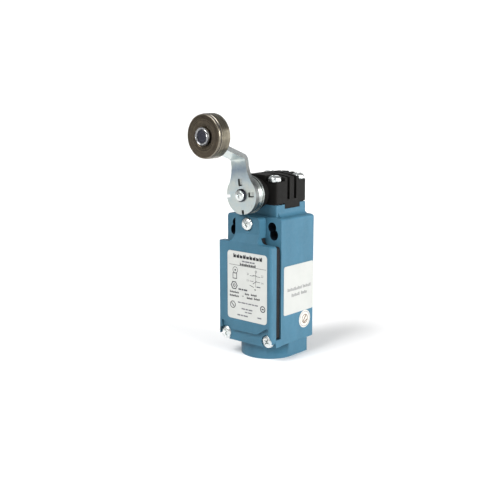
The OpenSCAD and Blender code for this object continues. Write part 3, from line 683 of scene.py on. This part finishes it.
class SWITCH_OT_cover(bpy.types.Operator):
    """Round the moulded edges of the front cover"""

    bl_idname = "limit_switch.cover"
    bl_label = "Cover"

    def execute(self, context):
        _, sizes, _ = settings()
        bm = cad_shell("cover")
        low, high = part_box("cover")
        foot, front = low.z / MM, low.y / MM
        step_low, step_high, step_edge, step_depth = 4.9, 8.5, 1.15, 1.6
        margin = 0.3
        round_edges(bm, step_edge * MM, 4,
                    lambda p: p.y < front + 0.1 and foot + step_low < p.z < foot + step_high)
        low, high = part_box("cover_screws")
        off = (high.x - low.x) / 2 / MM - PAN_R
        seat = low.z / MM + PAN_R
        pocket_reach = 3.4

        def open_edge(p):
            return math.hypot(abs(p.x) - off, p.z - seat) >= pocket_reach

        round_edges(bm, sizes.panel_edge, 4, open_edge)
        piece = weighted(finished(bm, "cover_moulding", "blue plastic", "body", ["cover"]))
        # painted shade: the downward-facing faces along the cover's lower step get the darker copy of the body
        # plastic
        piece.data.materials.append(material("blue painted shade"))
        for face in piece.data.polygons:
            spot = face.center / MM
            on_step = foot + step_low - margin < spot.z < foot + step_high + margin
            if on_step and spot.y < front + step_depth and face.normal.z < -0.1:
                face.material_index = 1
        return {"FINISHED"}


class SWITCH_OT_head(bpy.types.Operator):
    """Round the moulded edges of the head"""

    bl_idname = "limit_switch.head"
    bl_label = "Head"

    def execute(self, context):
        _, sizes, _ = settings()
        bm = cad_shell("head")
        round_edges(bm, sizes.head_edge, 2)
        weighted(finished(bm, "head_moulding", "black plastic", "body", ["head"]))
        return {"FINISHED"}


class SWITCH_OT_screws(bpy.types.Operator):
    """Drive the pan head screws of the cover and the head"""

    bl_idname = "limit_switch.screws"
    bl_label = "Screws"

    def execute(self, context):
        _, sizes, _ = settings()
        pitch = sizes.screw_pitch / MM
        low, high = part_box("cover_screws")
        r, shank, height = PAN_R, PAN_SHANK_R, 2.2
        head_y, tip_y = low.y, high.y
        seat = head_y + height * MM
        places = [(low.x + r * MM, low.z + r * MM), (high.x - r * MM, low.z + r * MM),
                  ((low.x + high.x) / 2, high.z - r * MM)]
        bm = bmesh.new()
        for (x, z), twist in zip(places, (0.35, 1.1, 0.7)):
            added(bm, pan_screw(r, height, shank, (tip_y - seat) / MM, pitch),
                  facing((0, -1, 0), (x, seat, z), twist))
        finished(bm, "cover_pan_screws", "zinc screws", "body", ["cover_screws"], sharp=38)

        low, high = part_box("head_screws")
        height = 2.5
        seat = high.z - height * MM
        bm = bmesh.new()
        middle = (low.y + high.y) / 2
        for x, y, twist in ((low.x, low.y, 0.2), (high.x, low.y, 0.95),
                            (low.x, high.y, 1.2), (high.x, high.y, 0.5)):
            place = (x + math.copysign(r * MM, -x), y + math.copysign(r * MM, middle - y), seat)
            added(bm, pan_screw(r, height, shank, (seat - low.z) / MM, pitch),
                  facing((0, 0, 1), place, twist))
        finished(bm, "head_pan_screws", "zinc screws", "body", ["head_screws"], sharp=38)
        return {"FINISHED"}


class SWITCH_OT_lever(bpy.types.Operator):
    """Finish the lever, its hub and its clamp screw"""

    bl_idname = "limit_switch.lever"
    bl_label = "Lever"

    def execute(self, context):
        _, sizes, _ = settings()
        bm = cad_shell("lever")
        round_edges(bm, sizes.sheet_edge, 2)
        piece = weighted(finished(bm, "lever_sheet", "zinc lever", "lever_arm", ["lever"]))
        piece.data.materials.append(material("sheared edge"))
        for face in piece.data.polygons:
            if abs(face.normal.y) < 0.15:
                face.material_index = 1
        bm = cad_shell("lever_hub")
        round_edges(bm, sizes.sheet_edge * 0.6, 2)
        weighted(finished(bm, "hub_drum", "turned zinc", "lever_arm", ["lever_hub"]))
        low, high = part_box("lever_screw")
        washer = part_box("lever_washer")[0].y
        r = (high.x - low.x) / 2 / MM
        height = (washer - low.y) / MM
        shank = 1.75
        screw = pan_screw(r, height, shank, (high.y - washer) / MM, sizes.screw_pitch / MM)
        bm = bmesh.new()
        added(bm, screw, facing((0, -1, 0), (SHAFT.x, washer, SHAFT.z), 0.4))
        finished(bm, "lever_pan_screw", "zinc screws", "lever_arm", ["lever_screw"], sharp=38)
        bm = cad_shell("lever_washer")
        round_edges(bm, 0.12 * MM, 2)
        # the spring washer is dark steel; its dark ring round the screw head also paints the shadow between head
        # and washer
        finished(bm, "lever_spring_washer", "dark steel and painted shade", "lever_arm", ["lever_washer"])
        return {"FINISHED"}


class SWITCH_OT_roller(bpy.types.Operator):
    """Turn the roller, its pin and its washer"""

    bl_idname = "limit_switch.roller"
    bl_label = "Roller"

    def execute(self, context):
        low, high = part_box("roller")
        r = (high.z - low.z) / 2 / MM
        w = (high.y - low.y) / MM
        stand = facing((0, 1, 0), (PIN.x, low.y, PIN.z))
        bore, floor_r, lip_r = 2.55, 4.35, 4.95
        recess, rear_recess, rim_r, rear_rim_r = 0.3, 0.25, 0.42, 0.55
        face = [(bore, recess), (floor_r, recess), (floor_r + 0.2, recess - 0.08), (lip_r - 0.25, 0.03),
                (lip_r, 0), (r - 0.62, 0)]
        rim = arc(r - 0.62, rim_r, rim_r, -75, -8, 4) + [(r - 0.19, 0.62), (r - 0.2, 0.84)]
        groove = [(r - 0.45, 0.95), (r - 0.46, 1.12), (r - 0.2, 1.22), (r - 0.06, 1.32), (r - 0.02, 1.5)]
        band = [(r, 1.7), (r, w - 0.7)] + arc(r - rear_rim_r, w - rear_rim_r, rear_rim_r, 0, 85, 5)
        back = [(lip_r, w), (lip_r - 0.25, w - 0.03), (lip_r - 0.45, w - rear_recess),
                (bore, w - rear_recess), (bore, recess)]
        bm = turned(face + rim + groove + band + back, 120)
        # painted highlight on the front chamfer and the groove's rear lip
        finishes = (("painted highlight edge", lambda a, y: a > r - 0.6 and y < 0.5 or a > r - 0.22 and 1.2 < y < 1.5),
                    # painted shade in the groove behind the front chamfer
                    ("dark steel and painted shade", lambda a, y: a > r - 0.5 and 0.85 < y < 1.2),
                    ("turned band", lambda a, y: a > r - 0.4 and y > 0.5))
        bmesh.ops.transform(bm, matrix=stand, verts=bm.verts)
        piece = finished(bm, "roller_wheel", "turned nickel", "roller", ["roller"], sharp=40)
        self.tint(piece, low.y, finishes)

        low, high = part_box("roller_pin")
        r = (high.z - low.z) / 2 / MM
        length = (high.y - low.y) / MM
        head, shank, hollow, hollow_r = 1.05, 2.5, 0.42, r * 0.69
        rivet = length - 0.9
        front = [(0, hollow), (hollow_r, hollow), (r * 0.70, 0.12)] + arc(r * 0.85, 0.14, r * 0.14, 170, 10, 6)
        side = [(r, 0.4), (r, head - 0.1), (r - 0.1, head), (shank, head), (shank, rivet)]
        tail = [(3.55, rivet), (3.6, rivet + 0.25), (3.2, rivet + 0.65), (2.4, length - 0.05), (1.6, length),
                (0, length)]
        bm = turned(front + side + tail, 72)
        bmesh.ops.transform(bm, matrix=facing((0, 1, 0), (PIN.x, low.y, PIN.z)), verts=bm.verts)
        piece = finished(bm, "roller_rivet", "turned steel", "lever_arm", ["roller_pin"],
                         sharp=40)
        # the rivet's hollow end gets the dark steel, darker inside the hollow
        self.tint(piece, low.y, (("dark steel and painted shade", lambda a, y: a < hollow_r and y < 0.5),))

        bm = cad_shell("roller_washer")
        round_edges(bm, 0.08 * MM, 2)
        finished(bm, "roller_thrust_washer", "ground steel", "lever_arm", ["roller_washer"])
        return {"FINISHED"}

    def tint(self, piece, front, finishes):
        """Gives a finish to the faces whose distance from the pin's axis and from the front pass a test."""
        for name, _ in finishes:
            piece.data.materials.append(material(name))
        for face in piece.data.polygons:
            away = math.hypot(face.center.x - PIN.x, face.center.z - PIN.z) / MM
            deep = (face.center.y - front) / MM
            for slot, (_, test) in enumerate(finishes, 1):
                if test(away, deep):
                    face.material_index = slot
                    break


class SWITCH_OT_labels(bpy.types.Operator):
    """Print the two labels and the round sticker"""

    bl_idname = "limit_switch.labels"
    bl_label = "Labels"

    def execute(self, context):
        _, sizes, _ = settings()
        paint("label film", "nameplate")
        # the side label gets the darker copy of the film, painted shade
        paint("side film", "entry_label")
        self.height = sizes.print_height / MM
        low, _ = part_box("nameplate")
        self.front = Matrix.Translation((0, low.y, low.z)) @ Matrix.Rotation(math.pi / 2, 4, "X")
        low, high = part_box("entry_label")
        turn = Matrix.Rotation(math.pi / 2, 4, "Z") @ Matrix.Rotation(math.pi / 2, 4, "X")
        self.side = Matrix.Translation((high.x, low.y, low.z)) @ turn
        self.nameplate()
        self.entry_label()
        self.sticker()
        return {"FINISHED"}

    def dash(self, bm, place, x0, x1, z, tall):
        """One printed dash on a label, drawn on the label's own right and up axes."""
        slab(bm, (x0, z - tall / 2, -0.01), (x1, z + tall / 2, self.height), place)

    def row(self, bm, place, x0, z, tall, words, gap=0.35):
        """A row of dashes that stands for a line of small print."""
        for word in words:
            self.dash(bm, place, x0, x0 + word, z, tall)
            x0 += word + gap

    def signs(self, bm, place, x, z, tall, wide, count, bold, gap=0.3, body=0.0):
        """Pairs of upright strokes on a solid body that stand for a line of larger print."""
        foot = z - tall / 2
        for k in range(count):
            if body:
                slab(bm, (x, foot, -0.01), (x + wide, foot + tall * body, self.height), place)
            for side, rise in ((0, STROKES[k % 5]), (wide - bold, STROKES[(k + 2) % 5])):
                slab(bm, (x + side, foot, -0.01), (x + side + bold, foot + tall * rise, self.height), place)
            x += wide + gap

    def stroke(self, bm, place, a, b, width):
        """A straight printed line between two points."""
        a, b = Vector(a), Vector(b)
        run = b - a
        turn = Matrix.Rotation(math.atan2(run.y, run.x), 4, "Z")
        stand = place @ Matrix.Translation((a.x * MM, a.y * MM, 0)) @ turn
        slab(bm, (-width / 2, -width / 2, -0.01), (run.length + width / 2, width / 2, self.height), stand)

    def ring(self, bm, place, x, z, r, width, steps=32):
        """A printed ring, or a dot where the width is the radius."""
        inner = r - width
        profile = [(inner, -0.01), (inner, self.height), (r, self.height), (r, -0.01), (inner, -0.01)]
        added(bm, turned(profile, steps), place @ Matrix.Translation((x * MM, z * MM, 0)))

    def numeral(self, bm, place, text, x, z, tall):
        """A contact number."""
        curve = bpy.data.curves.new("numeral", "FONT")
        curve.body = text
        curve.size = tall * MM * 1.35
        curve.align_x = "CENTER"
        curve.align_y = "CENTER"
        curve.extrude = self.height * MM / 2
        curve.resolution_u = 2
        letter = bpy.data.objects.new("numeral", curve)
        bpy.context.scene.collection.objects.link(letter)
        graph = bpy.context.evaluated_depsgraph_get()
        mesh = bpy.data.meshes.new_from_object(letter.evaluated_get(graph))
        part = bmesh.new()
        part.from_mesh(mesh)
        bmesh.ops.remove_doubles(part, verts=part.verts, dist=0.002 * MM)
        bpy.data.objects.remove(letter)
        bpy.data.curves.remove(curve)
        bpy.data.meshes.remove(mesh)
        added(bm, part, place @ Matrix.Translation((x * MM, z * MM, self.height * MM / 2)))

    def outline(self, bm, place, points, width):
        """A closed printed line through points."""
        for a, b in zip(points, points[1:] + points[:1]):
            self.stroke(bm, place, a, b, width)

    def nameplate(self):
        """The front label: a title, marks, a contact diagram and rows of small print."""
        at = self.front
        black, grey, pale = bmesh.new(), bmesh.new(), bmesh.new()
        self.signs(black, at, -6.0, 27.85, 1.75, 1.4, 9, 0.55, 0.42, 0.66)
        self.row(pale, at, -1.1, 25.75, 0.6, (1.5, 2.2, 1.1, 1.3), 0.3)
        self.signs(grey, at, -2.3, 24.5, 1.15, 0.75, 9, 0.3, 0.25, 0.55)
        self.dash(grey, at, -8.3, 12.2, 23.75, 0.17)
        self.ring(grey, at, -5.0, 21.5, 1.45, 0.24)
        self.ring(black, at, -5.0, 21.5, 0.42, 0.42)
        self.outline(grey, at, [(-6.3, 17.8), (-6.3, 20.1), (-4.2, 20.1), (-4.2, 17.8)], 0.32)
        self.outline(grey, at, arc(-5.6, 14.7, 1.7, 0, 300, 5), 0.42)
        self.ring(grey, at, -5.6, 14.7, 0.75, 0.34)
        self.diagram(grey, at)
        self.row(grey, at, -3.2, 13.4, 0.7, (1.5, 0.9, 2.0), 0.3)
        for x, z, wide, count in ((-8.1, 11.8, 0.68, 6), (-8.1, 10.2, 0.68, 6), (0.5, 11.85, 0.62, 3),
                                  (3.9, 11.95, 0.62, 4), (1.6, 10.3, 0.62, 4), (5.6, 10.5, 0.62, 4)):
            self.signs(grey, at, x, z, 0.95, wide, count, 0.26, 0.2, 0.5)
        self.dash(grey, at, -0.9, -0.3, 10.6, 0.4)
        self.ring(grey, at, -6.4, 6.1, 1.6, 0.34)
        self.stroke(grey, at, (-7.0, 6.7), (-5.8, 5.5), 0.42)
        self.row(pale, at, -3.5, 7.6, 0.55, (1.6, 2.3, 0.9, 1.8, 1.2, 1.7))
        self.ring(grey, at, 10.4, 6.6, 1.45, 0.46)
        self.dash(grey, at, 9.8, 11.0, 6.6, 0.6)
        for x, z, tall, words in ((-1.4, 5.0, 0.6, (1.9, 1.3, 2.2)), (0.5, 3.7, 0.5, (1.4, 2.1)),
                                  (-3.8, 2.0, 0.65, (1.7, 1.1, 2.4)), (7.5, 2.4, 0.6, (2.2,))):
            self.row(pale, at, x, z, tall, words)
        for bm, name, ink in ((black, "nameplate_bold_print", "black ink"),
                              (grey, "nameplate_print", "grey ink"),
                              (pale, "nameplate_fine_print", "pale ink")):
            finished(bm, name, ink, "body")

    def diagram(self, bm, at):
        """The contact diagram: one opening and one closing contact on a common plunger."""
        line = 0.2
        self.ring(bm, at, 6.6, 22.2, 0.55, line, 20)
        self.stroke(bm, at, (6.5, 21.6), (6.5, 15.6), 0.16)
        for z, rise in ((20.2, -0.3), (17.9, 1.1)):
            self.stroke(bm, at, (3.3, z), (5.2, z), line)
            self.stroke(bm, at, (5.0, z - rise), (6.9, z + 0.25), 0.26)
            self.stroke(bm, at, (6.9, z), (8.9, z), line)
        self.stroke(bm, at, (3.3, 16.0), (5.3, 15.4), 0.26)
        self.stroke(bm, at, (7.2, 15.8), (8.9, 15.8), 0.4)
        self.ring(bm, at, 6.2, 14.4, 0.42, 0.2, 16)
        for text, x, z in (("21", 2.2, 20.7), ("22", 10.1, 20.7), ("13", 2.0, 17.9), ("14", 10.1, 17.7)):
            self.numeral(bm, at, text, x, z, 0.95)

    def entry_label(self):
        """The side label: two rows of larger print."""
        bm = bmesh.new()
        for x, z, count in ((2.6, 10.85, 7), (13.2, 10.95, 4), (5.4, 8.2, 4), (12.0, 8.3, 3)):
            self.signs(bm, self.side, x, z, 1.5, 1.0, count, 0.28, 0.42)
        finished(bm, "entry_label_print", "grey ink", "body")

    def sticker(self):
        """The round sticker with its ring and mark."""
        low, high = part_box("round_sticker")
        r = (high.z - low.z) / 2 / MM
        film = (high.x - low.x) / MM - self.height
        centre = (low.x, (low.y + high.y) / 2, (low.z + high.z) / 2)
        disc = turned([(0, 0), (r, 0), (r, film - 0.04), (r - 0.04, film), (0, film)], 56)
        bmesh.ops.transform(disc, matrix=facing((1, 0, 0), centre), verts=disc.verts)
        finished(disc, "round_sticker_film", "cream film", "body", ["round_sticker"])
        at = Matrix.Translation((low.x + film * MM, centre[1], centre[2])) @ self.side.to_3x3().to_4x4()
        bm = bmesh.new()
        self.ring(bm, at, 0, 0, r - 0.5, 0.24, 56)
        finished(bm, "round_sticker_ring", "pale ink", "body")
        bm = bmesh.new()
        self.stroke(bm, at, (-1.2, -1.1), (0.9, 1.5), 0.6)
        self.stroke(bm, at, (-0.5, -1.5), (1.4, -0.6), 0.55)
        self.ring(bm, at, 0.1, 0, 2.1, 0.36, 40)
        finished(bm, "round_sticker_mark", "brown ink", "body")


class SWITCH_OT_inner_parts(bpy.types.Operator):
    """Finish the seals, shaft, cam, springs and contacts"""

    bl_idname = "limit_switch.inner_parts"
    bl_label = "Inner Parts"

    def execute(self, context):
        paint("black rubber", "cover_gasket", "head_gasket", "shaft_seal")
        paint("bronze", "shaft_bush")
        paint("ground steel", "shaft", "retaining_clip", "cam", "cam_pin")
        paint("spring steel", "follower_spring", "carriage_spring", "nc_bridge_spring", "no_bridge_spring")
        paint("cream plastic", "follower")
        paint("black plastic", "contact_base")
        paint("amber plastic", "contact_cover")
        paint("red plastic", "carriage")
        paint("zinc screws", "block_screws", "terminal_clamps", "terminal_screws")
        paint("brass", "nc_contact_left", "nc_contact_right", "no_contact_left", "no_contact_right",
              "nc_bridge", "no_bridge")
        paint("silver", "fixed_tips", "bridge_tips")
        return {"FINISHED"}


class SWITCH_OT_stage(bpy.types.Operator):
    """Set the floor, the camera and the lights"""

    bl_idname = "limit_switch.stage"
    bl_label = "Stage"

    def execute(self, context):
        _, _, stage = settings()
        scene = context.scene
        bm = bmesh.new()
        floor_half = 6
        bmesh.ops.create_grid(bm, x_segments=1, y_segments=1, size=floor_half,
                              matrix=Matrix.Translation((0, 0, FLOOR_Z)))
        mesh = bpy.data.meshes.new("floor")
        bm.to_mesh(mesh)
        bm.free()
        floor = bpy.data.objects.new("floor", mesh)
        scene.collection.objects.link(floor)
        mesh.materials.append(pale_floor("white floor"))

        back = Vector((math.sin(stage.azimuth) * math.cos(stage.elevation),
                       -math.cos(stage.azimuth) * math.cos(stage.elevation), math.sin(stage.elevation)))
        lens = bpy.data.cameras.new("camera")
        lens.lens = stage.lens
        lens.sensor_width = 36
        lens.clip_start = 0.01
        camera = bpy.data.objects.new("camera", lens)
        camera.location = Vector(stage.aim) + back * stage.distance
        camera.rotation_euler = (-back).to_track_quat("-Z", "Y").to_euler()
        scene.collection.objects.link(camera)
        scene.camera = camera

        self.soft_light("key_light", (0.97, -0.03, 0.24), 30, stage.key_strength)
        self.soft_light("front_light", (-0.12, -0.70, 0.70), 32, stage.front_strength)
        self.strip_light((0.38, 0.46, 0.10), stage.strip_power)
        self.surroundings(scene, stage.room, -back)
        scene.view_settings.view_transform = "Standard"
        return {"FINISHED"}

    def soft_light(self, name, source, spread, strength):
        """A broad light far away in a direction."""
        lamp = bpy.data.lights.new(name, "SUN")
        lamp.angle = math.radians(spread)
        lamp.energy = strength
        light = bpy.data.objects.new(name, lamp)
        light.rotation_euler = (-Vector(source)).to_track_quat("-Z", "Y").to_euler()
        bpy.context.scene.collection.objects.link(light)

    def strip_light(self, place, power, width=0.07, height=0.30):
        """A tall narrow light that draws a streak on turned metal."""
        lamp = bpy.data.lights.new("strip_light", "AREA")
        lamp.shape = "RECTANGLE"
        lamp.size = width
        lamp.size_y = height
        lamp.energy = power
        light = bpy.data.objects.new("strip_light", lamp)
        light.location = place
        light.rotation_euler = (Vector((0, -0.01, 0)) - Vector(place)).to_track_quat("-Z", "Y").to_euler()
        bpy.context.scene.collection.objects.link(light)

    def surroundings(self, scene, room, ahead):
        """A low white backdrop ahead of the camera in a greyer room."""
        world = bpy.data.worlds.new("studio")
        world.use_nodes = True
        tree = world.node_tree
        sky = tree.nodes["Background"]
        sky.inputs["Color"].default_value = (1, 1, 1, 1)
        where = tree.nodes.new("ShaderNodeTexCoord")
        toward = tree.nodes.new("ShaderNodeVectorMath")
        toward.operation = "DOT_PRODUCT"
        toward.inputs[1].default_value = ahead
        height = tree.nodes.new("ShaderNodeSeparateXYZ")
        tree.links.new(where.outputs["Generated"], toward.inputs[0])
        tree.links.new(where.outputs["Generated"], height.inputs["Vector"])
        backdrop = 1.08
        across = map_range(tree, toward.outputs["Value"], 0.60, 0.86, 0, 1)
        upward = map_range(tree, height.outputs["Z"], 0.10, 0.17, 1, 0)
        both = tree.nodes.new("ShaderNodeMath")
        both.operation = "MULTIPLY"
        tree.links.new(across, both.inputs[0])
        tree.links.new(upward, both.inputs[1])
        tree.links.new(map_range(tree, both.outputs["Value"], 0, 1, room, backdrop), sky.inputs["Strength"])
        scene.world = world


class SWITCH_PT_panel(bpy.types.Panel):
    """Lists the steps that build the switch"""

    bl_idname = "SWITCH_PT_panel"
    bl_label = "Limit Switch"
    bl_space_type = "VIEW_3D"
    bl_region_type = "UI"
    bl_category = "Limit Switch"

    def draw(self, context):
        for step in STEPS:
            self.layout.operator(step.bl_idname)
        for group in (context.scene.switch_colours, context.scene.switch_sizes, context.scene.switch_stage):
            box = self.layout.box()
            for name in group.bl_rna.properties.keys():
                if name not in ("rna_type", "name"):
                    box.prop(group, name)


STEPS = (SWITCH_OT_finishes, SWITCH_OT_housing, SWITCH_OT_cover, SWITCH_OT_head, SWITCH_OT_screws,
         SWITCH_OT_lever, SWITCH_OT_roller, SWITCH_OT_labels, SWITCH_OT_inner_parts, SWITCH_OT_stage)
CLASSES = (SwitchColours, SwitchSizes, StageSettings, *STEPS, SWITCH_PT_panel)


def register():
    for cls in CLASSES:
        bpy.utils.register_class(cls)
    bpy.types.Scene.switch_colours = bpy.props.PointerProperty(type=SwitchColours)
    bpy.types.Scene.switch_sizes = bpy.props.PointerProperty(type=SwitchSizes)
    bpy.types.Scene.switch_stage = bpy.props.PointerProperty(type=StageSettings)


def unregister():
    del bpy.types.Scene.switch_stage
    del bpy.types.Scene.switch_sizes
    del bpy.types.Scene.switch_colours
    for cls in reversed(CLASSES):
        bpy.utils.unregister_class(cls)


def main():
    register()
    bpy.ops.limit_switch.finishes()
    bpy.ops.limit_switch.housing()
    bpy.ops.limit_switch.cover()
    bpy.ops.limit_switch.head()
    bpy.ops.limit_switch.screws()
    bpy.ops.limit_switch.lever()
    bpy.ops.limit_switch.roller()
    bpy.ops.limit_switch.labels()
    bpy.ops.limit_switch.inner_parts()
    bpy.ops.limit_switch.stage()


if __name__ == "__main__":
    main()
